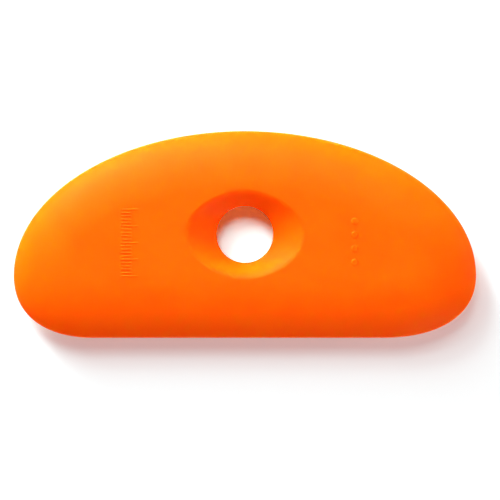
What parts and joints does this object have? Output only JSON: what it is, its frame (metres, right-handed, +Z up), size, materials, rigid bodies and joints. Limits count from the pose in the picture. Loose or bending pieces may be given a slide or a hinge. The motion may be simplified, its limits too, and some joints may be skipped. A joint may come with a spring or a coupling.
{
  "type": "pottery rib",
  "caption": "Half-moon shaping rib of soft silicone: straight edge below, arched edge above, thick flat middle thinning to a rounded working edge, with a dished finger hole.",
  "frame": {"origin": "on the resting plane, under the axis of the finger hole, which is also the middle of the outline's length and width", "axes": "+X along the length, +Y from the straight edge towards the arched edge, +Z up through the thickness, along the finger hole's axis"},
  "size_m": [0.1396, 0.0624, 0.0122],
  "materials": {
    "silicone": "satin moulded silicone, bright orange, slightly translucent at the thin edge"
  },
  "bodies": {
    "root": {"rib_body": "silicone"}
  },
  "joints": []
}
